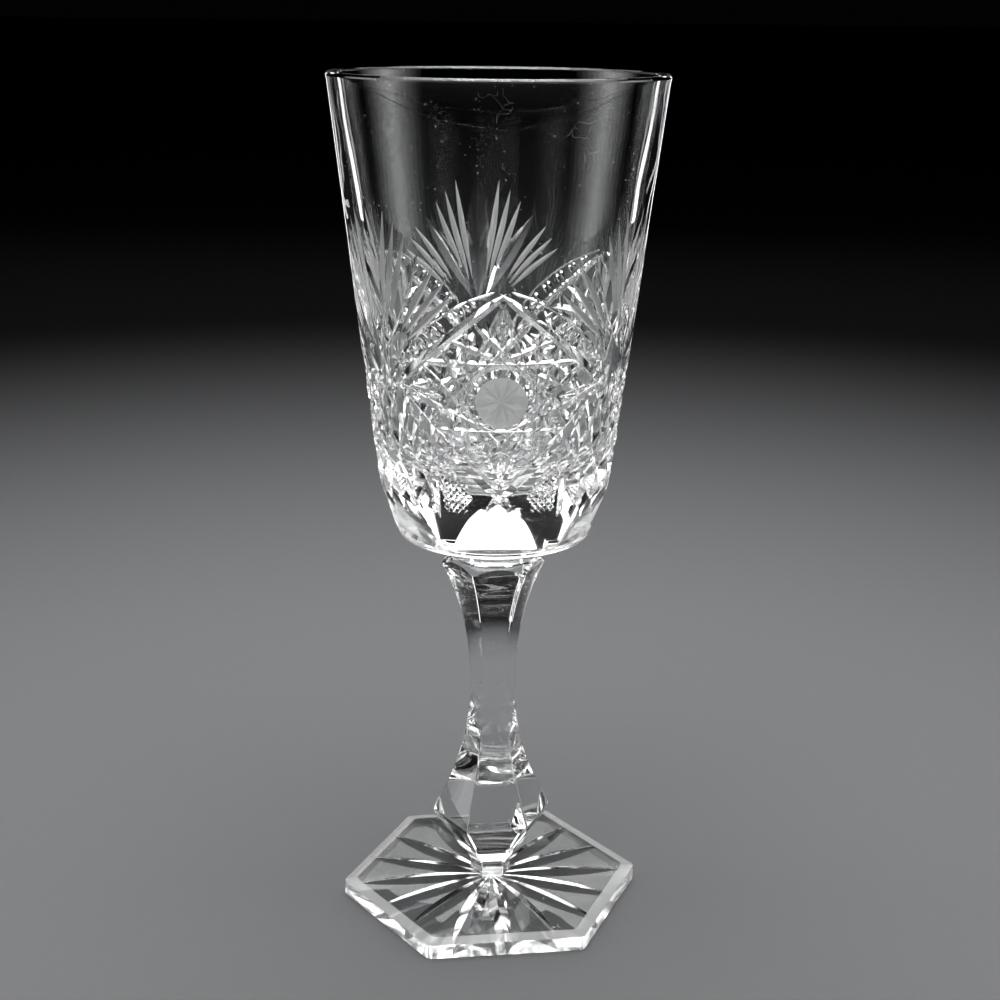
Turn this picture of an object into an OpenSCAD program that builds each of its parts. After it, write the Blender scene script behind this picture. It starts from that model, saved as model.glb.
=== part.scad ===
// Cut crystal wine glass: a bowl, a hexagonal stem and a star-cut hexagonal foot, fused end to end.
// Millimetres. +Z up. Origin at the centre of the foot's underside; foot and stem have flats facing +Y and -Y.

/* [Overall] */
// Height of the whole glass, from the table to the rim
glass_h = 184.8; // [175:0.1:195]
// Outside diameter of the rim
rim_d = 70; // [66:0.5:76]

/* [Bowl] */
// Height of the bowl alone, from its joint with the stem to the rim
bowl_h = 102.6; // [96:0.1:108]
// Lean of the bowl's wall, radius gained for each millimetre of height
wall_lean = 0.118; // [0.1:0.001:0.13]
// Width of the round neck where the bowl stands on the stem
bowl_neck_w = 19; // [18:0.2:20]
// Width of the disc under the bowl
disc_w = 41.8; // [41:0.2:43]
// Height of the disc's underside above the bowl's joint
disc_rise = 5.4; // [4.6:0.1:6]
// Thickness of the polished lip
lip_t = 1.6; // [1.2:0.1:2.2]
// Thickness of the wall where the pattern is cut
cut_wall_t = 3.6; // [3:0.1:4.2]
// Thickness of the glass under the bowl's floor
floor_t = 13.4; // [11:0.2:14]
// Height of the top of the cut band above the bowl's joint
cut_top = 52.5; // [48:0.5:58]
// Height of a petal's tip above the bowl's joint
petal_h = 19.3; // [17:0.1:21]
// Lean of a petal's face, radius gained for each millimetre of height
petal_lean = 0.52; // [0.45:0.001:0.55]

/* [Stem] */
// Width of the stem's capital, across its corners
capital_w = 23; // [21:0.2:25]
// Width of the stem's waist, across its corners
waist_w = 10.6; // [9.6:0.2:12]
// Width of the stem at the crease above the knop, across its corners
crease_w = 20.6; // [19:0.2:22]
// Width of the knop, across its corners
knop_w = 27; // [25:0.2:29]
// Width of the neck where the stem meets the foot, across its corners
neck_w = 9.6; // [8.6:0.2:11]

/* [Foot] */
// Width of the foot, across its corners
foot_w = 68.4; // [64:0.2:72]
// Thickness of the foot at its rim
foot_edge_t = 3.2; // [2.8:0.1:3.6]
// Width of the bevel round the foot's top
foot_bevel_w = 2.6; // [2:0.1:3.2]
// Thickness of the foot at the neck
foot_mid_t = 4.6; // [4.2:0.1:5.2]
// Number of rays cut in the underside
ray_n = 16; // [8:1:16]
// Depth of a ray at its deepest
ray_depth = 1.1; // [0.6:0.1:1.4]

/* [Hidden] */
GLASS = [0.86, 0.9, 0.92, 0.45];

flats = cos(30); // across flats, as a share of across corners
joint_z = glass_h - bowl_h; // where the bowl stands on the stem
rim_r = rim_d / 2;

bevel_rise = 0.5; // the foot's bevel rises this much from its rim
chamfer = 2.1; // height of the round chamfer on top of the capital
disc_edge_r = 1.3; // rounding of the disc's lower edge
ledge = 1.6; // the petals stop this high above the disc's underside
neck_flare = 4; // radius of the flare between the bowl's neck and its disc
base_draw = 2.4; // the wall is drawn in by this much at the ledge
floor_round = 14; // radius of the hollow's rounded corner
knop_z = 20.6; // heights on the stem
knop_flat = 1.2;
crease_z = 27.5;
lower_waist_z = 50;
upper_waist_z = 54;
shoulder_z = 13.7;
shoulder_w = 17.2;
neck_top_z = 7.7;

disc_z = joint_z + disc_rise; // underside of the disc
wall_z = disc_z + 2 * ledge; // the leaning wall starts here
draw_z = disc_z + 12.9; // and is drawn in below here

function outer_r(z) = rim_r - wall_lean * (glass_h - z);
function blank_r(z) = outer_r(z) - base_draw * max(0, draw_z - z) / (draw_z - wall_z);

// Points along a circle's arc, from one angle to another
function arc(centre, r, from, to, steps) = [
    for (i = [0:steps])
        let (a = from + (to - from) * i / steps)
        centre + r * [cos(a), sin(a)]
];

// Half-widths from a waist to a wide end, along a circle that is upright at the waist
function flare(waist, waist_z, wide, wide_z, steps) =
    let (dz = wide_z - waist_z)
    let (dw = wide - waist)
    let (r = (dz * dz + dw * dw) / (2 * dw))
    [for (i = [0:steps]) let (t = dz * i / steps) [waist + r - sqrt(r * r - t * t), waist_z + t]];

// A six-sided solid whose faces all follow one outline of half-widths across flats, listed from the bottom up
module six_sided(outline) {
    span = 2 * max([for (p = outline) p.x]) + 40;
    mirrored = [for (i = [len(outline) - 1:-1:0]) [-outline[i].x, outline[i].y]];
    intersection_for (turn = [0, 60, 120])
        rotate([0, 0, turn])
            rotate([90, 0, 90])
                linear_extrude(span, center = true)
                    polygon(concat(outline, mirrored));
}

// One of the six broad flats that are cut round the bowl's base, down to the disc; it faces -Y
module petal_cut() {
    tip_z = joint_z + petal_h;
    tip_r = blank_r(tip_z);
    low_z = disc_z + ledge;
    rotate([90, 0, 90])
        linear_extrude(60, center = true)
            polygon([
                [-tip_r, tip_z],
                [-tip_r - 30, tip_z],
                [-tip_r - 30, low_z],
                [-tip_r + petal_lean * (tip_z - low_z), low_z],
            ]);
}

module bowl() {
    neck_r = bowl_neck_w / 2;
    disc_r = disc_w / 2;
    neck = arc([neck_r + neck_flare, disc_z - neck_flare], neck_flare, 180, 90, 8);
    disc = arc([disc_r - disc_edge_r, disc_z + disc_edge_r], disc_edge_r, -90, 0, 6);

    cut_z = joint_z + cut_top;
    floor_z = disc_z + floor_t;
    floor_round_z = floor_z + floor_round;
    floor_round_r = outer_r(floor_round_z) - cut_wall_t - floor_round;
    hollow = arc([floor_round_r, floor_round_z], floor_round, 0, -90, 14);

    lip_r = rim_r - lip_t / 2;
    lip_z = glass_h - lip_t / 2;
    lip = arc([lip_r, lip_z], lip_t / 2, 0, 180, 8);

    color(GLASS)
        difference() {
            rotate_extrude($fn = 96)
                polygon(concat(
                    [[0, joint_z], [neck_r, joint_z]],
                    neck,
                    disc,
                    [[blank_r(wall_z), wall_z], [outer_r(draw_z), draw_z]],
                    lip,
                    [[outer_r(cut_z) - cut_wall_t + 0.6, cut_z + 6]],
                    [[outer_r(cut_z) - cut_wall_t, cut_z - 4]],
                    hollow,
                    [[0, floor_z]]
                ));
            for (turn = [0:60:300])
                rotate([0, 0, turn])
                    petal_cut();
        }
}

// The six faces end at the top in little arches, where the hexagon meets a turned cone
module stem() {
    capital = capital_w / 2 * flats;
    waist = waist_w / 2 * flats;
    crease = crease_w / 2 * flats;
    knop = knop_w / 2 * flats;
    lower = flare(waist, lower_waist_z, crease, crease_z, 10);
    upper = flare(waist, upper_waist_z, capital, joint_z - chamfer, 14);
    color(GLASS)
        intersection() {
            six_sided(concat(
                [[neck_w / 2 * flats, foot_mid_t]],
                [[neck_w / 2 * flats, neck_top_z]],
                [[shoulder_w / 2 * flats, shoulder_z]],
                [[knop - 0.2, knop_z - knop_flat]],
                [[knop, knop_z]],
                [for (i = [10:-1:0]) lower[i]],
                upper,
                [[capital, joint_z]]
            ));
            rotate_extrude($fn = 96)
                polygon([
                    [0, 0],
                    [knop_w, 0],
                    [knop_w, upper_waist_z],
                    [capital_w / 2 + 2, joint_z - chamfer],
                    [capital_w / 2, joint_z - chamfer],
                    [bowl_neck_w / 2, joint_z],
                    [0, joint_z],
                ]);
        }
}

// A ray is a V groove that is deepest a third of the way out and runs out to a point at each end
module ray(length) {
    start = 3;
    deep_at = length * 0.42;
    module half(from, to) {
        run = abs(to - from);
        tilt = atan(ray_depth / run);
        big = 3;
        translate([0, to, 0])
            rotate([0, 0, to > from ? 0 : 180])
                rotate([-tilt, 0, 0])
                    rotate([90, 0, 0])
                        linear_extrude(run / cos(tilt))
                            polygon([[0, 0], [big * 1.4, -big], [-big * 1.4, -big]]);
    }
    half(deep_at, length);
    half(deep_at, start);
}

module foot() {
    edge = foot_w / 2 * flats;
    neck = neck_w / 2 * flats;
    color(GLASS)
        difference() {
            six_sided([
                [edge, 0],
                [edge, foot_edge_t],
                [edge - foot_bevel_w, foot_edge_t + bevel_rise],
                [neck, foot_mid_t],
            ]);
            for (i = [0:ray_n - 1])
                rotate([0, 0, i * 360 / ray_n])
                    ray(edge + 0.4);
        }
}

bowl();
stem();
foot();
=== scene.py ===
# %% [markdown]
# # A cut crystal wine glass
# The real glass is three gathers of lead crystal fused end to end: a bowl, a six-sided stem and a six-sided
# foot. A cutter then grinds the pattern with V-edged wheels and polishes it. This lesson works in the same
# order: each blank is grown with extrusions, and a set of cutting tools is pressed into it with booleans.
# The frame is loaded first. It holds the CAD model, and each finished piece stands for one of its nodes.

# %% Tools and the frame
import math

import bpy
from mathutils import Matrix, Vector


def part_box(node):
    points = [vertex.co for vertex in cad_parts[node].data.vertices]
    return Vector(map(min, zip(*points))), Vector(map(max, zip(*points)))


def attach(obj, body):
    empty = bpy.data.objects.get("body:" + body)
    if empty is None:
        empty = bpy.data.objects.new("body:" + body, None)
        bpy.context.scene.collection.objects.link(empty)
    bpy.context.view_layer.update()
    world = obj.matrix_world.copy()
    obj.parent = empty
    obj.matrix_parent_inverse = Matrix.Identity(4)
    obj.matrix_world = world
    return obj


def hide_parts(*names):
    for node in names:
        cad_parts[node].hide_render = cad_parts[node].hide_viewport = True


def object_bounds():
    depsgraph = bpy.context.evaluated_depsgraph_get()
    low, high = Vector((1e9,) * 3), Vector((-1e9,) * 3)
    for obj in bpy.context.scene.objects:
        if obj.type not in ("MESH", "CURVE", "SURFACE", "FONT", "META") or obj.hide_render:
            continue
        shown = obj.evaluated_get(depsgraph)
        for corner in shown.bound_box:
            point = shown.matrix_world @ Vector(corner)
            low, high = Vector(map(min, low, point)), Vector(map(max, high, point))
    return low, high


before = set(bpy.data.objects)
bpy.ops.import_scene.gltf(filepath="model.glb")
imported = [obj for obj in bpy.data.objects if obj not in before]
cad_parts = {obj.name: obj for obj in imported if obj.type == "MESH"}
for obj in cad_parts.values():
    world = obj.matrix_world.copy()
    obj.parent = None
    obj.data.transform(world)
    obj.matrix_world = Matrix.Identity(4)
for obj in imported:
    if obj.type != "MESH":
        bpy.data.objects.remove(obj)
cad_low, cad_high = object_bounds()
MM = 0.001
print("frame nodes:", sorted(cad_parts))

# %% [markdown]
# Every size below is in millimetres, and MM turns it into Blender's metres. The sizes are read from the
# frame or are among the few numbers that a glass cutter would note down. The bowl is a straight cone whose
# radius grows a little with height, so one function gives its outside.

# %% Driving sizes
rim_r = cad_high.x / MM
rim_z = cad_high.z / MM
joint_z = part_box("bowl")[0].z / MM
foot_top_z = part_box("foot")[1].z / MM
foot_corner_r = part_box("foot")[1].x / MM
LEAN = 0.118  # radius gained for each millimetre of height
FUSE = 0.25  # the stem runs this far into the bowl and the foot, where the glass is fused
SMOOTH = math.radians(18)  # shading is smoothed only across edges that turn less than this


def ease(t):
    """Goes smoothly from 0 to 1."""
    t = min(max(t, 0.0), 1.0)
    return t * t * (3 - 2 * t)


def outside(z):
    """Radius of the uncut bowl at a height."""
    return rim_r - LEAN * (rim_z - z)


print("rim radius", round(rim_r, 2), "joint at", round(joint_z, 2), "foot top at", round(foot_top_z, 2))

# %% [markdown]
# Operators act on whatever is selected, and the loaded frame starts out selected. These helpers clear the
# selection, make one object active, and pick points, edges or faces of a mesh by where they are.

# %% Selection helpers
print("selected after loading:", len(bpy.context.selected_objects))


def only(*objects):
    """Selects these objects and nothing else, and makes the last one active."""
    bpy.ops.object.select_all(action="DESELECT")
    for obj in objects:
        obj.select_set(True)
    bpy.context.view_layer.objects.active = objects[-1]


def edit(piece, kind="VERT"):
    """Goes into edit mode on one piece with nothing selected."""
    only(piece)
    bpy.ops.object.mode_set(mode="EDIT")
    bpy.ops.mesh.select_mode(type=kind)
    bpy.ops.mesh.select_all(action="DESELECT")


def pick(piece, test, kind="VERT"):
    """Selects the points, edges or faces that pass the test, and stays in edit mode."""
    bpy.ops.mesh.select_all(action="DESELECT")
    bpy.ops.object.mode_set(mode="OBJECT")
    mesh = piece.data
    if kind == "VERT":
        for point in mesh.vertices:
            point.select = test(point.co)
    elif kind == "EDGE":
        for line in mesh.edges:
            ends = [mesh.vertices[i].co for i in line.vertices]
            line.select = test(ends[0], ends[1])
    else:
        for face in mesh.polygons:
            face.select = test(face.center)
    bpy.ops.object.mode_set(mode="EDIT")


def done():
    """Leaves edit mode."""
    bpy.ops.object.mode_set(mode="OBJECT")


def finish_modifier(piece, modifier):
    """Makes what a modifier does a lasting part of the mesh."""
    only(piece)
    bpy.ops.object.modifier_apply(modifier=modifier.name)


def twin(piece):
    """A copy of a piece with its own mesh."""
    again = piece.copy()
    again.data = piece.data.copy()
    bpy.context.collection.objects.link(again)
    return again


def face_outwards():
    """Turns every face of the mesh in edit mode outwards."""
    bpy.ops.mesh.select_all(action="SELECT")
    bpy.ops.mesh.normals_make_consistent(inside=False)


# %% [markdown]
# A blown or pressed blank is a stack of outlines. It is modelled as one flat polygon that is extruded and
# resized again and again, up the outside and, for the bowl, over the lip and down the inside. The same
# function makes the round bowl from many corners and the stem from six.


# %% Growing a blank
def grow(name, corners, stations, turn=0.0):
    """A closed solid that is extruded from one (radius, height) to the next, in millimetres."""
    first_r, first_z = stations[0]
    bpy.ops.object.select_all(action="DESELECT")
    bpy.ops.mesh.primitive_circle_add(
        vertices=corners, radius=first_r * MM, fill_type="NGON",
        location=(0, 0, first_z * MM), rotation=(0, 0, turn))
    piece = bpy.context.object
    piece.name = name
    bpy.ops.object.transform_apply(location=True, rotation=True, scale=True)
    bpy.ops.object.mode_set(mode="EDIT")
    bpy.ops.mesh.select_all(action="SELECT")
    for (r0, z0), (r1, z1) in zip(stations, stations[1:]):
        bpy.ops.mesh.extrude_region_move(TRANSFORM_OT_translate={"value": (0, 0, (z1 - z0) * MM)})
        if r1 == 0:
            bpy.ops.mesh.merge(type="CENTER")
        else:
            bpy.ops.transform.resize(value=(r1 / r0, r1 / r0, 1), center_override=(0, 0, z1 * MM))
    face_outwards()
    done()
    print(name, "grown:", len(piece.data.polygons), "faces")
    return piece


def arc(r_mid, z_mid, radius, start, end, steps):
    """Points (radius, height) along an arc, with angles in degrees."""
    turns = [math.radians(start + (end - start) * i / steps) for i in range(steps + 1)]
    return [(r_mid + radius * math.cos(t), z_mid + radius * math.sin(t)) for t in turns]


# %% [markdown]
# ## Crystal
# A finish is a small tree of shader nodes. These helpers add one node each, set it and link it, so that the
# effects further down can be read as sums.


# %% Node helpers
def new_group(name, inputs, output):
    """A node group with named number inputs and one named output."""
    group = bpy.data.node_groups.new(name, "ShaderNodeTree")
    for label, value in inputs.items():
        socket = group.interface.new_socket(label, in_out="INPUT", socket_type="NodeSocketFloat")
        socket.default_value = value
    group.interface.new_socket(output, in_out="OUTPUT", socket_type="NodeSocketFloat")
    return group, group.nodes.new("NodeGroupInput"), group.nodes.new("NodeGroupOutput")


def feed(tree, value, socket):
    """Sets a socket to a number, or links another socket to it."""
    if isinstance(value, (int, float)):
        socket.default_value = value
    else:
        tree.links.new(value, socket)


def math_node(tree, operation, first, second=0):
    node = tree.nodes.new("ShaderNodeMath")
    node.operation = operation
    feed(tree, first, node.inputs[0])
    feed(tree, second, node.inputs[1])
    return node.outputs[0]


def noise_node(tree, where, scale, detail=2.0, stretch=(1, 1, 1)):
    mapping = tree.nodes.new("ShaderNodeMapping")
    mapping.inputs["Scale"].default_value = stretch
    tree.links.new(where, mapping.inputs["Vector"])
    noise = tree.nodes.new("ShaderNodeTexNoise")
    noise.inputs["Detail"].default_value = detail
    feed(tree, scale, noise.inputs["Scale"])
    tree.links.new(mapping.outputs[0], noise.inputs["Vector"])
    return noise.outputs["Fac"]


def range_node(tree, value, low, high, to_low=0, to_high=1):
    node = tree.nodes.new("ShaderNodeMapRange")
    node.interpolation_type = "SMOOTHSTEP"
    for label, number in (("From Min", low), ("From Max", high), ("To Min", to_low), ("To Max", to_high)):
        node.inputs[label].default_value = number
    tree.links.new(value, node.inputs["Value"])
    return node.outputs["Result"]


print("node helpers ready, groups so far:", len(bpy.data.node_groups))

# %% [markdown]
# Handling leaves soft smudges, fine specks and short hairs of lint on glass, and all of them dull the
# polish. They are one shader node group that puts out a roughness, because every finish wears them in its
# own strength. Each mask is a noise cut off between two levels, and a larger scale makes a finer noise. A
# hair is the thin line where a noise crosses one half.

# %% Handling marks
SMUDGE_SCALE, SMUDGE_LEVELS = 55, (0.55, 0.75)
WIPE_SCALE, WIPE_STRETCH = 240, (1, 1, 0.25)  # a cloth streaks the smudges upwards
SPECK_SCALE, SPECK_LEVELS = 1000, (0.77, 0.8)
HAIR_SCALE, HAIR_WIDTH = 130, 0.004
LINT_SCALE, LINT_LEVELS = 110, (0.75, 0.78)  # hairs show only in a few patches

marks, marks_in, marks_out = new_group(
    "handling_marks", {"Polish": 0.01, "Smudges": 0.05, "Specks": 0.3}, "Roughness")
place = marks.nodes.new("ShaderNodeTexCoord").outputs["Object"]
patches = range_node(marks, noise_node(marks, place, SMUDGE_SCALE, 3), *SMUDGE_LEVELS)
wiped = noise_node(marks, place, WIPE_SCALE, 4, WIPE_STRETCH)
smudge = math_node(marks, "MULTIPLY", patches, wiped)
specks = range_node(marks, noise_node(marks, place, SPECK_SCALE, 1), *SPECK_LEVELS)
off_middle = math_node(marks, "SUBTRACT", noise_node(marks, place, HAIR_SCALE, 2), 0.5)
hairs = range_node(marks, math_node(marks, "ABSOLUTE", off_middle), 0.0, HAIR_WIDTH, 1, 0)
lint_patches = range_node(marks, noise_node(marks, place, LINT_SCALE, 0), *LINT_LEVELS)
specks = math_node(marks, "MAXIMUM", specks, math_node(marks, "MULTIPLY", hairs, lint_patches))
rough = math_node(marks, "MULTIPLY", smudge, marks_in.outputs["Smudges"])
rough = math_node(marks, "ADD", rough, math_node(marks, "MULTIPLY", specks, marks_in.outputs["Specks"]))
rough = math_node(marks, "ADD", rough, marks_in.outputs["Polish"])
marks.links.new(rough, marks_out.inputs["Roughness"])
print("handling marks:", len(marks.nodes), "nodes")

# %% [markdown]
# A polishing wheel leaves faint waves, which make reflections wander a little. They are a second group that
# puts out a height for each material's own Bump node.

# %% Wheel waves
waves, waves_in, waves_out = new_group("wheel_waves", {"Scale": 120}, "Height")
place = waves.nodes.new("ShaderNodeTexCoord").outputs["Object"]
ripple = noise_node(waves, place, waves_in.outputs["Scale"], 1)
waves.links.new(ripple, waves_out.inputs["Height"])
print("groups:", [g.name for g in bpy.data.node_groups])

# %% [markdown]
# Lead crystal bends light more than window glass, so its cut faces flash. The shader itself stays in each
# material, with plain numbers for what is the same all over. The blown wall and the stem are nearly mirror
# smooth, cut faces a little less, the slim needles of the fans are satin, the edge of the foot is slightly
# milky, and the button of a star keeps the grey of the stone wheel that ground it.

# %% Crystal materials
IOR_CRYSTAL = 1.545
TINT = (0.985, 0.992, 0.992, 1)


def crystal(name, polish, smudges, specks, wave_scale, wave_height, through=1.0):
    """A glass finish: roughness, strength of the marks, the waves' scale and height, and how clear it is."""
    material = bpy.data.materials.new(name)
    material.use_nodes = True
    tree = material.node_tree
    shader = tree.nodes["Principled BSDF"]
    shader.inputs["Base Color"].default_value = TINT
    shader.inputs["Transmission Weight"].default_value = through
    shader.inputs["IOR"].default_value = IOR_CRYSTAL
    finish = tree.nodes.new("ShaderNodeGroup")
    finish.node_tree = marks
    finish.inputs["Polish"].default_value = polish
    finish.inputs["Smudges"].default_value = smudges
    finish.inputs["Specks"].default_value = specks
    tree.links.new(finish.outputs["Roughness"], shader.inputs["Roughness"])
    wave = tree.nodes.new("ShaderNodeGroup")
    wave.node_tree = waves
    wave.inputs["Scale"].default_value = wave_scale
    bump = tree.nodes.new("ShaderNodeBump")
    bump.inputs["Distance"].default_value = wave_height
    bump.inputs["Strength"].default_value = 1
    tree.links.new(wave.outputs["Height"], bump.inputs["Height"])
    tree.links.new(bump.outputs["Normal"], shader.inputs["Normal"])
    return material


clear = crystal("clear_crystal", 0.004, 0.10, 0.35, 60, 0.00012)
cut_face = crystal("cut_crystal", 0.07, 0.05, 0.1, 90, 0.00008)
satin = crystal("satin_crystal", 0.3, 0.10, 0.1, 700, 0.00004, 0.3)
edge_face = crystal("edge_crystal", 0.12, 0.10, 0.1, 160, 0.0001, 0.72)
ground = crystal("ground_crystal", 0.4, 0.10, 0.1, 900, 0.00006, 0.75)
print("materials:", [m.name for m in (clear, cut_face, satin, edge_face, ground)])

# %% [markdown]
# ## The bowl's blank
# The wall is thin and fire-polished at the lip and thick lower down, where the wheels will cut into it.
# Just above the disc the wall is drawn in, and the hollow ends in a rounded floor over a thick, clear base.
# Two functions say this: one gives the outside at any height and the other the inside.

# %% Bowl sizes
DISC_R = 20.9
DISC_EDGE = 1.3  # radius of the disc's round edge
LEDGE_RISE = 1.7  # height of the disc's upper side above its lower one
NECK_R = 9.5
NECK_FLARE = 4.0
NECK_TALL = 5.4
DRAW_IN = 2.4  # the wall is drawn in by this much at the disc
DRAW_TALL = 12.9  # and from this height above the disc's lower side
LIP = 1.6  # thickness at the lip
LIP_FADE = 30.0  # the lip thickens to the clear band over this height
CLEAR_WALL = 2.1
CUT_WALL = 3.6  # thickness under the cuts
CUT_WALL_TOP, CUT_WALL_FADE = 158.0, 26.0
BASE_TALL = 13.4  # the hollow's floor above the disc's lower side
FLOOR_ROUND = 14.0
disc_low = joint_z + NECK_TALL
disc_top = disc_low + LEDGE_RISE
floor_z = disc_low + BASE_TALL


def blank(z):
    """The cone, drawn in just above the disc."""
    return outside(z) - DRAW_IN * max(0.0, disc_low + DRAW_TALL - z) / (DRAW_TALL - LEDGE_RISE)


def inside(z):
    """Radius of the hollow at a height: the wall thickens below the clear band."""
    band = (CLEAR_WALL - LIP) * ease((rim_z - z) / LIP_FADE)
    low = (CUT_WALL - CLEAR_WALL) * ease((CUT_WALL_TOP - z) / CUT_WALL_FADE)
    return outside(z) - (LIP + band + low)


print("clear wall", CLEAR_WALL, "cut wall", CUT_WALL, "floor of the hollow at", round(floor_z, 2))

# %% [markdown]
# The outline runs from the joint up the flared neck, round the edge of the disc, up the wall, over the lip
# and down the hollow to the middle of its floor. The rings are close together near the disc, where the
# petals will be cut.

# %% Growing the bowl
BOWL_SIDES = 192
LOW_RINGS, LOW_PITCH = 8, 1.4
HIGH_RINGS = 20
wall_top = rim_z - LIP / 2
wall_low = disc_top + 0.2
floor_edge_z = floor_z + FLOOR_ROUND
floor_r = inside(floor_edge_z) - FLOOR_ROUND
heights = [wall_low + LOW_PITCH * i for i in range(LOW_RINGS)]
rest = wall_top - heights[-1] - 1
heights += [heights[-1] + rest * i / HIGH_RINGS for i in range(1, HIGH_RINGS + 1)]
outline = [(NECK_R, joint_z)]
outline += arc(NECK_R + NECK_FLARE, disc_low - NECK_FLARE, NECK_FLARE, 180, 90, 8)
outline += arc(DISC_R - DISC_EDGE, disc_low + DISC_EDGE, DISC_EDGE, -90, 0, 6)
outline += [(blank(z), z) for z in heights]
outline += arc(rim_r - LIP / 2, wall_top, LIP / 2, 0, 180, 8)
outline += [(inside(z), z) for z in reversed(heights) if z > floor_edge_z + 1]
outline += arc(floor_r, floor_edge_z, FLOOR_ROUND, 0, -90, 12)
outline += [(floor_r * 0.5, floor_z), (0, floor_z)]
bowl = grow("cut_bowl", BOWL_SIDES, outline)
bowl.data.materials.append(clear)

# %% [markdown]
# ## The cutting tools
# A wheel pressed into the glass leaves a mitre: a V groove that is widest and deepest in the middle and
# runs out to a point at each end. One bar with three sides is subdivided along its length and every ring is
# pushed and narrowed to follow the wheel. A leaf tool tapers all the way, and a mitre tool only near its
# ends.

# %% Making a tool
TOOL_RINGS = 12
LIFT = 0.5  # the bar stands this far out of the glass, as a share of its depth
NEAR = 0.01  # a point this close to a ring belongs to it


def make_tool(name, sweep):
    """A V bar one unit long, deep and half-wide, whose depth along its length follows sweep(0 to 1)."""
    bpy.ops.object.select_all(action="DESELECT")
    bpy.ops.mesh.primitive_cylinder_add(vertices=3, radius=1, depth=1)
    tool = bpy.context.object
    tool.name = name
    edit(tool, "EDGE")
    pick(tool, lambda a, b: abs(a.z - b.z) > 0.5, "EDGE")
    bpy.ops.mesh.subdivide(number_cuts=TOOL_RINGS - 1)
    bpy.ops.mesh.select_mode(type="VERT")
    done()
    tool.data.transform(Matrix.Rotation(math.radians(-90), 4, "Y"))
    edit(tool)
    for ring in range(TOOL_RINGS + 1):
        x = ring / TOOL_RINGS - 0.5
        deep = sweep(ring / TOOL_RINGS)
        pick(tool, lambda p: abs(p.x - x) < NEAR and p.y > 0.7)
        bpy.ops.transform.translate(value=(0, deep - 1, 0))
        pick(tool, lambda p: abs(p.x - x) < NEAR and p.y < -0.4)
        wide = (deep + LIFT) / math.sin(math.radians(60))
        bpy.ops.transform.resize(value=(1, 1, wide), center_override=(x, -LIFT, 0))
    face_outwards()
    done()
    tool.hide_render = True
    tool.data.materials.append(cut_face)
    print(name, "tool:", len(tool.data.vertices), "points")
    return tool


leaf = make_tool("leaf_wheel", lambda s: 1 - (2 * s - 1) ** 2)
mitre = make_tool("mitre_wheel", lambda s: 1 - abs(2 * s - 1) ** 8)

# %% [markdown]
# ## The pattern sheet
# The pattern is drawn flat, the way a cutter marks it on paper: u runs round the bowl and v runs up it, in
# millimetres from the middle of a hobstar. A stroke is a copy of a tool laid on the sheet.

# %% Laying a stroke
star_z = joint_z + 41.3
star_r = outside(star_z)
u_third = star_r * math.radians(120)


def stroke(tool, start, end, width, depth):
    """One cut from start to end on the flat sheet; width is at the surface, in millimetres."""
    run = Vector(end) - Vector(start)
    middle = (Vector(end) + Vector(start)) / 2
    cut = twin(tool)
    place = Matrix.Translation((middle.x * MM, 0, middle.y * MM))
    turn = Matrix.Rotation(-math.atan2(run.y, run.x), 4, "Y")
    size = Matrix.Diagonal((run.length * MM, depth * MM, width / 2 * MM, 1))
    cut.data.transform(place @ turn @ size)
    return cut


print("star at", round(star_z, 1), "a third of the way round is", round(u_third, 1), "mm there")

# %% [markdown]
# The sheet is bent round the bowl and tapered to its cone by two modifiers, then moved to its height and
# turned to its place. Most motifs repeat in thirds, so the sheet is set out three times round the bowl.
# Carving takes it out of the bowl with a boolean, and each cut face takes the finish of the tool that made
# it.


# %% Wrapping and carving
def wrap(strokes, axis_turn, copies=3):
    """Joins strokes into one sheet, wraps it round the bowl and repeats it round the axis."""
    only(*strokes)
    if len(strokes) > 1:
        bpy.ops.object.join()
    sheet = bpy.context.object
    across = [v.co.x for v in sheet.data.vertices]
    up = [v.co.z for v in sheet.data.vertices]
    bend = sheet.modifiers.new("bend", "SIMPLE_DEFORM")
    bend.deform_method = "BEND"
    bend.deform_axis = "Z"
    bend.angle = (max(across) - min(across)) / (star_r * MM)
    finish_modifier(sheet, bend)
    sheet.data.transform(Matrix.Translation((0, -star_r * MM, 0)))
    taper = sheet.modifiers.new("taper", "SIMPLE_DEFORM")
    taper.deform_method = "TAPER"
    taper.deform_axis = "Z"
    taper.factor = (max(up) - min(up)) * LEAN / (star_r * MM)
    finish_modifier(sheet, taper)
    sheet.data.transform(Matrix.Rotation(axis_turn, 4, "Z") @ Matrix.Translation((0, 0, star_z * MM)))
    parts = [sheet]
    for i in range(1, copies):
        again = twin(sheet)
        again.data.transform(Matrix.Rotation(i * 2 * math.pi / copies, 4, "Z"))
        parts.append(again)
    only(*reversed(parts))
    if copies > 1:
        bpy.ops.object.join()
    return sheet


def carve(piece, cutter, operation="DIFFERENCE"):
    """Takes the cutter out of the piece; cut faces take the cutter's material."""
    boolean = piece.modifiers.new("cut", "BOOLEAN")
    boolean.operation = operation
    boolean.solver = "MANIFOLD"
    boolean.material_mode = "TRANSFER"
    boolean.object = cutter
    finish_modifier(piece, boolean)
    bpy.data.objects.remove(cutter)


def cut_sheet(strokes, turn, copies=3):
    """Wraps strokes round the bowl and carves them."""
    carve(bowl, wrap(strokes, turn, copies))


# %% [markdown]
# ## Petals round the base
# Six broad flats are ground round the foot of the bowl by a wheel that leans outwards more than the wall
# does, so each flat starts in a point and widens down to the disc, which keeps its round edge. One slab
# stands for the wheel's flat face.

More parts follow.
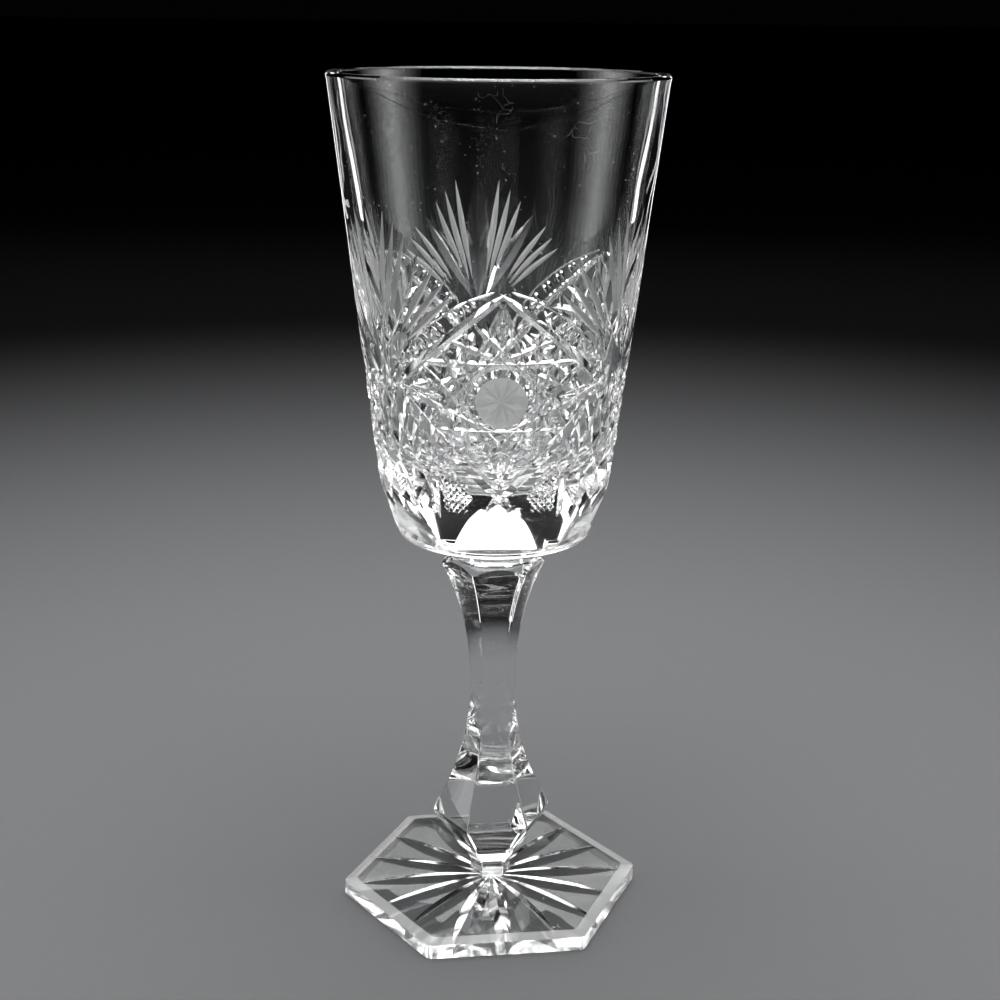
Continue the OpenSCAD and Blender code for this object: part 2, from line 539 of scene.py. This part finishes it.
# %% Cutting the petals
PETAL_TIP = disc_low + 13.9
PETAL_LEAN = 0.52  # radius gained by a flat for each millimetre of height
PETAL_TURN = math.radians(-3)
LEDGE = disc_top - 0.1
SLAB_WIDE, SLAB_THICK, SLAB_TALL = 44.0, 20.0, 22.0


def petal_slab(turn):
    """A block whose inner face is one flat and whose bottom rests on the disc."""
    bpy.ops.object.select_all(action="DESELECT")
    bpy.ops.mesh.primitive_cube_add(size=1)
    slab = bpy.context.object
    edit(slab)
    bpy.ops.mesh.select_all(action="SELECT")
    bpy.ops.transform.resize(value=(SLAB_WIDE * MM, SLAB_THICK * MM, SLAB_TALL * MM))
    face = blank(PETAL_TIP) - PETAL_LEAN * (PETAL_TIP - LEDGE)
    bpy.ops.transform.translate(value=(0, -(face + SLAB_THICK / 2) * MM, (LEDGE + SLAB_TALL / 2) * MM))
    pick(slab, lambda p: p.z > (LEDGE + 1) * MM)
    bpy.ops.transform.translate(value=(0, -PETAL_LEAN * SLAB_TALL * MM, 0))
    done()
    slab.data.transform(Matrix.Rotation(turn, 4, "Z"))
    slab.data.materials.append(cut_face)
    return slab


for i in range(6):
    carve(bowl, petal_slab(PETAL_TURN + math.radians(60 * i)))
print("bowl with petals:", len(bowl.data.polygons), "faces")

# %% [markdown]
# ## The hobstars
# Each hobstar fills a lozenge that has four mitres for its borders. The two upper ones are slim, and the
# two lower ones are broad and cross below it. Each border runs on past the corner, because the wheel has to
# leave the glass.

# %% Lozenge borders
HALF_W = 23.5
HALF_H = 20.8
CORNER_V = 0.8  # the side corners stand this far above the middle of the star
STAR_TURN = math.radians(-4.5)
UPPER_EDGE = (1.8, 0.9)  # width and depth of a cut
LOWER_EDGE = (2.5, 1.3)
UPPER_RUN = 0.8  # how far an upper border runs on at both ends
LOWER_RUN_SIDE, LOWER_RUN_FOOT = 1.5, 5
top, right, bottom, left = (0, HALF_H), (HALF_W, CORNER_V), (0, -HALF_H), (-HALF_W, CORNER_V)


def beyond(start, end, extra):
    """The end point moved on by extra millimetres along the stroke."""
    run = (Vector(end) - Vector(start)).normalized()
    return Vector(end) + run * extra


for a, b, c, d in ((right, top, bottom, left), (left, top, bottom, right)):
    upper = (beyond(b, a, UPPER_RUN), beyond(a, b, UPPER_RUN))
    lower = (beyond(c, d, LOWER_RUN_SIDE), beyond(d, c, LOWER_RUN_FOOT))
    cut_sheet([stroke(mitre, *upper, *UPPER_EDGE), stroke(mitre, *lower, *LOWER_EDGE)], STAR_TURN)
print("bowl with lozenges:", len(bowl.data.polygons), "faces")

# %% [markdown]
# Sixteen long mitres, every one touching the same small circle, cross each other inside the lozenge and
# leave a round button in the middle with a sixteen-pointed star about it. Each mitre ends where its line
# meets the border, so a helper clips a line to an outline.

# %% Star mitres
STAR_REACH = 7.0  # radius of the circle that every mitre touches
STAR_MITRE = (1.7, 0.8)
SHORTEST = 0.8  # a shorter piece of line is left out


def clip(point, along, polygon):
    """Both ends of a line where it crosses a convex outline listed anticlockwise, or None."""
    near, far = -99.0, 99.0
    for a, b in zip(polygon, polygon[1:] + polygon[:1]):
        edge = Vector(b) - Vector(a)
        out = Vector((edge.y, -edge.x))
        speed = along.dot(out)
        gap = (Vector(a) - point).dot(out)
        if speed > 1e-9:
            far = min(far, gap / speed)
        elif speed < -1e-9:
            near = max(near, gap / speed)
    return (point + along * near, point + along * far) if far - near > SHORTEST else None


def direction(degrees):
    """A step of one millimetre on the sheet in a direction."""
    return Vector((math.cos(math.radians(degrees)), math.sin(math.radians(degrees))))


lozenge = [top, left, bottom, right]
for k in range(8):
    pair = []
    for turn in (22.5 * k, 22.5 * k + 180):
        normal = direction(turn)
        ends = clip(normal * STAR_REACH, Vector((-normal.y, normal.x)), lozenge)
        pair.append(stroke(mitre, *ends, *STAR_MITRE))
    cut_sheet(pair, STAR_TURN)
print("bowl with hobstars:", len(bowl.data.polygons), "faces")

# %% [markdown]
# The button in the middle of each star is left grey from the stone. It is a shallow round cut with a small
# twelve-pointed star of its own, and a ring of short radial notches stands round it.

# %% Buttons
BUTTON_R = 5.2
BUTTON_V = -0.7  # the button sits a little below the middle of the lozenge
BUTTON_DEEP = 0.2
CUTTER_THICK = 1.0
BUTTON_RAY = (2.9, 1.15)
RAY_RUN = 0.4  # a ray of the small star runs on past the button's edge
RING_NOTCH = (0.9, 0.5)
RING_FROM, RING_TO = BUTTON_R + 0.25, 6.9


def button_cutter():
    """A round cutter, laid on the pattern sheet, with the grey finish."""
    bpy.ops.object.select_all(action="DESELECT")
    bpy.ops.mesh.primitive_cylinder_add(vertices=48, radius=BUTTON_R * MM, depth=CUTTER_THICK * MM,
                                        end_fill_type="TRIFAN")
    cutter = bpy.context.object
    place = Matrix.Translation((0, (BUTTON_DEEP - CUTTER_THICK / 2) * MM, BUTTON_V * MM))
    cutter.data.transform(place @ Matrix.Rotation(math.radians(90), 4, "X"))
    cutter.data.materials.append(ground)
    return cutter


def spoke(tool, degrees, near, far, width, depth):
    """A stroke along a radius of the button, from near to far."""
    middle = Vector((0, BUTTON_V))
    along = direction(degrees)
    return stroke(tool, middle + along * near, middle + along * far, width, depth)


cut_sheet([button_cutter()], STAR_TURN)
for k in range(6):
    ray_cut = spoke(leaf, 30 * k + 15, -BUTTON_R - RAY_RUN, BUTTON_R + RAY_RUN, *BUTTON_RAY)
    ray_cut.data.materials[0] = ground
    cut_sheet([ray_cut], STAR_TURN)
ring = [spoke(mitre, 22.5 * k + 11.25, RING_FROM, RING_TO, *RING_NOTCH) for k in range(16)]
cut_sheet(ring, STAR_TURN)
print("bowl with buttons:", len(bowl.data.polygons), "faces")

# %% [markdown]
# In each corner of a lozenge three short leaves spread like a small fan. Leaves that cross are cut one
# after the other, because a sheet whose strokes overlap is no longer a clean solid.

# %% Corner fans
CORNER_LEAF = (1.1, 0.5)
CORNER_FANS = ((90, 11.0, 6.3), (-90, 11.0, 6.0), (0, 11.8, 7.5), (180, 11.8, 7.5))  # angle, start, length
for angle, base, length in CORNER_FANS:
    for spread in (-13, 0, 13):
        start = direction(angle) * base
        cut_sheet([stroke(leaf, start, start + direction(angle + spread) * length, *CORNER_LEAF)], STAR_TURN)
print("bowl with corner fans:", len(bowl.data.polygons), "faces")

# %% [markdown]
# A band of little notches runs outside each upper edge of a lozenge, between the edge and a thin curved
# line. The notches stand in pairs. The curved line is a chain of short straight mitres, cut in two turns so
# that neighbours don't overlap in one sheet.

# %% Notched bands
BAND_WIDE, BAND_GAP, BAND_SWELL = 3.4, 0.9, 0.6
NOTCH = (0.95, 0.5)
NOTCH_FIRST, NOTCH_PITCH, NOTCH_PAIR = 0.06, 0.13, 0.022  # as shares of the edge
CURVE = (0.6, 0.3)
CURVE_STEPS, CURVE_LAP = 6, 0.06
edge_line = Vector(right) - Vector(top)
edge_run = edge_line.normalized()
edge_out = Vector((-edge_run.y, edge_run.x))
edge_long = edge_line.length


def band_point(t, across, side):
    """A point of the band: t along the edge, across from the edge (0) to the curved line (1)."""
    wide = across * BAND_WIDE * math.sin(math.pi * t) ** BAND_SWELL
    p = Vector(top) + edge_run * edge_long * t + edge_out * (BAND_GAP + wide)
    return (side * p.x, p.y)


def curve_point(step, side):
    """A point of the curved line, some steps along it."""
    return band_point(0.02 + 0.96 * step / CURVE_STEPS, 1, side)


notches = []
for side in (-1, 1):
    for i in range(1, 7):
        for shift in (-NOTCH_PAIR, NOTCH_PAIR):
            t = NOTCH_FIRST + i * NOTCH_PITCH + shift
            notches.append(stroke(leaf, band_point(t, 0.12, side), band_point(t, 0.88, side), *NOTCH))
cut_sheet(notches, STAR_TURN)
for odd in (0, 1):
    cut_sheet([stroke(mitre, curve_point(i, side), curve_point(i + 1 + CURVE_LAP, side), *CURVE)
               for side in (-1, 1) for i in range(odd, CURVE_STEPS, 2)], STAR_TURN)
print("bowl with bands:", len(bowl.data.polygons), "faces")

# %% [markdown]
# ## The fans
# Between the hobstars three broad fans of leaf cuts rise into the clear band. The middle leaf and the two
# side leaves are wide and polished, and slim satin needles stand between them in threes. The cutter placed
# each fan by eye, so each is cut by itself at its own turn.

# %% Cutting the fans
FAN_PLACES = (60, 186, -56)  # degrees from the front star
FAN_V = 10.5  # where the leaves seem to spring from
MIDDLE = ((0, FAN_V - 4.5), (0, FAN_V + 27), 4.6, 1.2)
SIDE = ((1.6, -2.5), (11.8, 18), 3.2, 1.0)
INNER = [((1.6, 1.8), (4.6, 25.5)), ((2.4, 1.4), (6.9, 23.4)), ((3.2, 1.2), (9.1, 21.2))]
OUTER = [((6.6, 1.8), (14.8, 15.6)), ((7.1, 0.9), (16.6, 12.8)), ((7.6, 0.0), (18.2, 10.2))]
NEEDLE = (1.35, 0.65)


def fan_strokes(plan):
    """Both mirror images of each planned leaf: start and end from the spring, width and depth."""
    return [stroke(leaf, (side * a[0], FAN_V + a[1]), (side * b[0], FAN_V + b[1]), wide, deep)
            for side in (-1, 1) for a, b, wide, deep in plan]


for fan_place in FAN_PLACES:
    fan_turn = STAR_TURN + math.radians(fan_place)
    cut_sheet([stroke(leaf, *MIDDLE)], fan_turn, 1)
    cut_sheet(fan_strokes([SIDE]), fan_turn, 1)
    for inner, outer in zip(INNER, OUTER):
        needles = fan_strokes([(*inner, *NEEDLE), (*outer, *NEEDLE)])
        for needle in needles:
            needle.data.materials[0] = satin
        cut_sheet(needles, fan_turn, 1)
print("bowl with fans:", len(bowl.data.polygons), "faces")

# %% [markdown]
# ## Vertical mitres and fine diamonds
# Below each star two upright mitres mark off a pair of small kites. Fine crossed lines fill them, so close
# together that only the points of little diamonds are left between the grooves.

# %% Crossed lines
UPRIGHT = (2.0, 1.1)
UPRIGHT_U, UPRIGHT_LOW, UPRIGHT_HIGH = 14.5, -28.5, -10.5
FINE_LINE = (0.95, 0.45)
FINE_PITCH = 1.05
KITE = [(5.6, -21.5), (8.5, -25.5), (13.2, -26.5), (13.2, -12.5), (8.5, -16.5)]
mirror_kite = [(-x, y) for x, y in reversed(KITE)]


def hatch(polygon, angle, pitch, width, depth, phase=0.0):
    """Parallel mitres at one angle that fill an outline."""
    along = Vector((math.cos(angle), math.sin(angle)))
    normal = Vector((-along.y, along.x))
    reach = [Vector(p).dot(normal) for p in polygon]
    lines = []
    step = math.ceil((min(reach) - phase) / pitch)
    while step * pitch + phase < max(reach):
        ends = clip(normal * (step * pitch + phase), along, polygon)
        if ends:
            lines.append(stroke(mitre, *ends, width, depth))
        step += 1
    return lines


cut_sheet([stroke(mitre, (side * UPRIGHT_U, UPRIGHT_LOW), (side * UPRIGHT_U, UPRIGHT_HIGH), *UPRIGHT)
           for side in (-1, 1)], STAR_TURN)
for angle in (math.radians(42), math.radians(-48)):
    cut_sheet(hatch(KITE, angle, FINE_PITCH, *FINE_LINE), STAR_TURN)
    cut_sheet(hatch(mirror_kite, math.pi - angle, FINE_PITCH, *FINE_LINE), STAR_TURN)
print("bowl with kites:", len(bowl.data.polygons), "faces")

# %% [markdown]
# A coarser lattice of broad crossed mitres fills the field between one star and the next, under the fans.
# The grooves nearly touch, so they leave large pointed diamonds.

# %% The lattice
FIELD_TURN = STAR_TURN + math.radians(60)
LATTICE = math.radians(58)
LATTICE_CUT = (3.6, 1.25)
LATTICE_PHASE = 0.6
CELL = u_third / 10
half = u_third / 4 - 0.6
FIELD = [(-half, -25.5), (half, -25.5), (half, -9), (6.2, -0.2), (0, 5), (-6.2, -0.2), (-half, -9)]
for angle in (LATTICE, math.pi - LATTICE):
    cut_sheet(hatch(FIELD, angle, CELL * math.sin(LATTICE), *LATTICE_CUT, LATTICE_PHASE), FIELD_TURN)
print("bowl cut:", len(bowl.data.polygons), "faces")

# %% [markdown]
# ## Smoothing the bowl
# The blown surface is round and the cut faces are flat, so shading is smoothed only across shallow angles.
# The bowl then rides on the one body of the frame and stands for the CAD model's bowl.

# %% Finishing the bowl
only(bowl)
bpy.ops.object.shade_smooth_by_angle(angle=SMOOTH)
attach(bowl, "root")
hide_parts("bowl")
print("bowl size in mm:", [round(v / MM, 2) for v in bowl.dimensions])

# %% [markdown]
# ## The stem
# The stem is ground as a six-sided bar that swells at the top, where it meets the bowl, and near the foot,
# where it makes a broad knop. It is grown from a hexagon, whose sides follow two long hollow curves. The
# six long edges are then bevelled a little, because polishing softens them.

# %% Growing the stem
WAIST_R, WAIST_LOW, WAIST_HIGH = 5.3, 50, 54
NECK_LOW_R = 4.8  # radius where the stem meets the foot
NECK_LOW_TALL = 2.4
KNOP_SWELL, KNOP_SWELL_TALL = 3.8, 6.2
KNOP_R, KNOP_Z = 13.5, 20.6
CREASE_R, CREASE_Z = 10.3, 27.5
CAP_R, CAP_Z = 11.5, joint_z - 2.1
STEM_BEVEL = 0.4


def hollow(r0, z0, r1, z1, steps):
    """Points along a hollow arc that is upright at the end where the radius is smaller."""
    rise, sag = abs(z1 - z0), abs(r1 - r0)
    radius = (sag * sag + rise * rise) / (2 * sag)
    waist_r, waist_z = min((r0, z0), (r1, z1))
    points = []
    for i in range(1, steps + 1):
        z = z0 + (z1 - z0) * i / steps
        points.append((waist_r + radius - math.sqrt(radius ** 2 - (z - waist_z) ** 2), z))
    return points


neck_top = foot_top_z + NECK_LOW_TALL
stem_path = [(NECK_LOW_R, foot_top_z - FUSE), (NECK_LOW_R, neck_top)]
stem_path += [(NECK_LOW_R + KNOP_SWELL * ease(i / 6), neck_top + KNOP_SWELL_TALL * i / 6)
              for i in range(1, 7)]
stem_path += [(KNOP_R - 0.3, KNOP_Z - 1.2), (KNOP_R, KNOP_Z), (CREASE_R, CREASE_Z)]
stem_path += hollow(CREASE_R, CREASE_Z, WAIST_R, WAIST_LOW, 14)
stem_path += [(WAIST_R, WAIST_HIGH)] + hollow(WAIST_R, WAIST_HIGH, CAP_R, CAP_Z, 16)
stem_path += [(CAP_R + 0.1, CAP_Z + 0.8), (CAP_R + 0.1, joint_z + FUSE)]
stem = grow("stem_with_knop", 6, stem_path, math.radians(30))
edit(stem)
pick(stem, lambda a, b: abs(math.atan2(a.y, a.x) - math.atan2(b.y, b.x)) < 0.01, "EDGE")
bpy.ops.mesh.select_mode(type="EDGE")
bpy.ops.mesh.bevel(offset=STEM_BEVEL * MM, segments=3, affect="EDGES")
done()
stem.data.materials.append(clear)

# %% [markdown]
# The stem's top is turned round, so the six faces end there in little arches, as on a nut. The round top is
# what the hexagon and a turned bar have in common, so it is an intersection.

# %% Rounding the stem's top
BAR_R = 18
bar_path = [(BAR_R, 0), (BAR_R, CAP_Z - 3), (CAP_R + 0.1, CAP_Z - 0.3), (CAP_R - 0.05, CAP_Z + 0.2)]
bar_path += [(NECK_R + 0.4, joint_z - 0.3), (NECK_R, joint_z), (NECK_R, joint_z + 1)]
turned = grow("turned_bar", 96, bar_path)
turned.data.materials.append(clear)
carve(stem, turned, "INTERSECT")
only(stem)
bpy.ops.object.shade_smooth_by_angle(angle=SMOOTH)
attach(stem, "root")
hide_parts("stem")
print("stem:", len(stem.data.polygons), "faces")

# %% [markdown]
# ## The foot
# The foot is a six-sided plate with slightly rounded corners. It has an upright edge, a narrow bevel round
# the top, and a top that rises gently to the stem. The edge and the bevel are a little milky, so those
# faces get a finish of their own.

# %% The foot's plate
CORNER_BEVEL = 1.0
EDGE_TALL, BEVEL_TALL, DOME_TALL = 3.2, 0.5, 0.9
BEVEL_IN = 2.9
DOME_SHARE = 0.2  # the flat middle of the top, as a share of the bevel's inner outline
MILKY_LOW, MILKY_HIGH = 0.1, 3.6  # face centres between these heights are on the edge or the bevel
bpy.ops.object.select_all(action="DESELECT")
bpy.ops.mesh.primitive_circle_add(vertices=6, radius=foot_corner_r * MM, fill_type="NGON",
                                  rotation=(0, 0, math.radians(30)))
foot = bpy.context.object
foot.name = "star_foot"
bpy.ops.object.transform_apply(location=True, rotation=True, scale=True)
edit(foot)
bpy.ops.mesh.select_all(action="SELECT")
bpy.ops.mesh.bevel(offset=CORNER_BEVEL * MM, segments=4, affect="VERTICES")
bpy.ops.mesh.select_all(action="SELECT")
inner = (foot_corner_r - BEVEL_IN) / foot_corner_r
height = 0.0
for rise, shrink in ((EDGE_TALL, 1), (BEVEL_TALL, inner), (DOME_TALL, DOME_SHARE)):
    height += rise
    bpy.ops.mesh.extrude_region_move(TRANSFORM_OT_translate={"value": (0, 0, rise * MM)})
    bpy.ops.transform.resize(value=(shrink, shrink, 1), center_override=(0, 0, height * MM))
face_outwards()
done()
foot.data.materials.append(clear)
foot.data.materials.append(edge_face)
edit(foot, "FACE")
pick(foot, lambda c: MILKY_LOW * MM < c.z < MILKY_HIGH * MM, "FACE")
foot.active_material_index = 1
bpy.ops.object.material_slot_assign()
done()
print("foot size in mm:", [round(v / MM, 2) for v in foot.dimensions])

# %% [markdown]
# Sixteen tapering mitres are ground into the underside. They are copies of the leaf tool, laid on their
# backs so that they cut upwards, and turned one step after another about the middle.

# %% The star under the foot
RAY_LONG, RAY_WIDE, RAY_DEEP = 30.5, 4.6, 1.5


def ray(turn):
    """One tapering mitre from the middle of the underside outwards."""
    cut = twin(leaf)
    size = Matrix.Diagonal((RAY_LONG * MM, RAY_DEEP * MM, RAY_WIDE / 2 * MM, 1))
    lay = Matrix.Rotation(math.radians(90), 4, "X")
    shift = Matrix.Translation((RAY_LONG / 2 * MM, 0, 0))
    cut.data.transform(Matrix.Rotation(turn, 4, "Z") @ shift @ lay @ size)
    return cut


for k in range(16):
    carve(foot, ray(math.radians(22.5 * k - 90)))
only(foot)
bpy.ops.object.shade_smooth_by_angle(angle=SMOOTH)
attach(foot, "root")
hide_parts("foot")
for tool in (leaf, mitre):
    bpy.data.objects.remove(tool)
print("foot:", len(foot.data.polygons), "faces")

# %% [markdown]
# ## Floor, light and camera
# Glass shows what stands round it, so the floor and the lights shape it as much as its own surface does.
# The floor is a pale plane with a pool of light painted into its colour: the paint is pale round the glass
# and darkens away from it into painted shade, so that the upper half of the glass stands before the dark and
# its bright edges can be read.

# %% Floor
FLOOR_SIZE = 60  # in metres, so that its edge is out of sight
FLOOR_GAP = 0.2  # the floor lies this far below the foot, which keeps the two surfaces apart
# Painted light: the near colour is a painted pool of light round the glass, and the far colour is painted
# shade.
PAINTED_LIGHT_POOL = (0.15, 0.152, 0.156, 1)
PAINTED_SHADE_FAR = (0.006, 0.006, 0.0065, 1)
POOL_FADE_FROM, POOL_FADE_TO = 0.16, 0.75  # in metres from the middle
bpy.ops.object.select_all(action="DESELECT")
bpy.ops.mesh.primitive_plane_add(size=FLOOR_SIZE, location=(0, 0, -FLOOR_GAP * MM))
floor = bpy.context.object
floor.name = "floor"
paint = bpy.data.materials.new("floor_painted_light_pool")
paint.use_nodes = True
tree = paint.node_tree
paint_shader = tree.nodes["Principled BSDF"]
paint_shader.inputs["Roughness"].default_value = 0.9
paint_shader.inputs["Specular IOR Level"].default_value = 0
length = tree.nodes.new("ShaderNodeVectorMath")
length.operation = "LENGTH"
tree.links.new(tree.nodes.new("ShaderNodeTexCoord").outputs["Object"], length.inputs[0])
# This mix paints the pool of light round the glass, and the shade beyond it, into the floor's colour.
mix = tree.nodes.new("ShaderNodeMix")
mix.data_type = "RGBA"
tree.links.new(range_node(tree, length.outputs["Value"], POOL_FADE_FROM, POOL_FADE_TO), mix.inputs["Factor"])
mix.inputs[6].default_value = PAINTED_LIGHT_POOL
mix.inputs[7].default_value = PAINTED_SHADE_FAR
tree.links.new(mix.outputs[2], paint_shader.inputs["Base Color"])
floor.data.materials.append(paint)
print("floor:", FLOOR_SIZE, "m wide")

# %% [markdown]
# Cut glass is lit from the sides and from above, like silverware. A stack of soft boxes on each side, each
# smaller and brighter than the one before it, gives a reflection with a soft border. A narrow strip behind
# each side draws the bright line along the edge of the wall. A box behind the glass shines through the
# petals.

# %% Lights
DARK_ROOM = (0.0008, 0.0008, 0.0009, 1)
MIDDLE_OF_GLASS = (0, 0, 0.1)
AHEAD = Vector((0.126, 0.992, 0))  # level, from the camera towards the glass
ACROSS = Vector((0.992, -0.126, 0))
SIDE_STACK, SIDE_AWAY, SIDE_HEIGHT = 6, 0.8, 0.33
SIDE_WIDE, SIDE_TALL, SIDE_GLOW = 0.9, 0.64, 0.12
CEILING_GLOWS, CEILING_HEIGHT, CEILING_WIDE = (1.5, 2, 4), 0.62, 0.8
STACK_GAP = 0.01  # the boxes of a stack stand this far from each other
world = bpy.data.worlds.new("dark_room")
world.use_nodes = True
world.node_tree.nodes["Background"].inputs["Color"].default_value = DARK_ROOM
bpy.context.scene.world = world


def lamp(name, at, width, height, glow):
    """A soft box aimed at the glass, with a glow in watts per square metre and steradian."""
    bpy.ops.object.select_all(action="DESELECT")
    bpy.ops.object.light_add(type="AREA", location=at)
    light = bpy.context.object
    light.name = name
    light.data.shape = "RECTANGLE"
    light.data.size = width
    light.data.size_y = height
    light.data.energy = glow * math.pi * width * height
    away = Vector(at) - Vector(MIDDLE_OF_GLASS)
    light.rotation_euler = away.to_track_quat("Z", "Y").to_euler()
    light.visible_camera = False
    return light


def stand(ahead, across, height):
    """A place in metres: ahead of the glass, to the right of it and up, as the camera sees it."""
    return AHEAD * ahead + ACROSS * across + Vector((0, 0, height))


for side in (-1, 1):
    for step in range(SIDE_STACK):
        at = stand(0.02, side * (SIDE_AWAY + STACK_GAP * step), SIDE_HEIGHT)
        lamp("side_box", at, SIDE_WIDE - 0.15 * step, SIDE_TALL, SIDE_GLOW * (step + 1))
    strip = lamp("edge_strip", stand(0.55, side * 0.21, 0.19), 0.035, 0.34, 3)
    strip.visible_diffuse = False
for step, glow in enumerate(CEILING_GLOWS):
    width = CEILING_WIDE - 0.22 * step
    lamp("ceiling_box", stand(0, 0, CEILING_HEIGHT + STACK_GAP * step), width, width, glow)
back = lamp("back_box", stand(0.95, 0, 0.55), 1.2, 0.4, 2.5)
back.visible_glossy = False

# %% [markdown]
# The camera looks down a little from in front, with a lens that is slightly longer than normal. Its place
# and its axes are given as vectors, so the view is exact. Light has to pass many walls of glass, so it may
# bounce more often than usual.

# %% Camera
CAMERA_AT = Vector((-41.239, -333.460, 196.6))
FORWARD = Vector((0.12094502, 0.94911838, -0.29076899))
RIGHT_HAND = Vector((0.99233305, -0.12311031, 0.01090721))
LENS, SENSOR = 57.96, 36
camera_data = bpy.data.cameras.new("camera")
camera_data.lens = LENS
camera_data.sensor_width = SENSOR
camera = bpy.data.objects.new("camera", camera_data)
bpy.context.collection.objects.link(camera)
axes = Matrix((RIGHT_HAND, RIGHT_HAND.cross(FORWARD), -FORWARD)).transposed().to_4x4()
camera.matrix_world = Matrix.Translation(CAMERA_AT * MM) @ axes
bpy.context.scene.camera = camera
bpy.context.scene.view_settings.view_transform = "Standard"
cycles = bpy.context.scene.cycles
cycles.max_bounces = 24
cycles.transmission_bounces = 24
cycles.glossy_bounces = 12
print("camera at", [round(v, 1) for v in CAMERA_AT], "mm, lens", LENS, "mm")

# %% [markdown]
# ## Sizes
# Last, the CAD model's box is printed.

# %% Sizes
print("cad", [round(v, 5) for v in (*cad_low, *cad_high)])
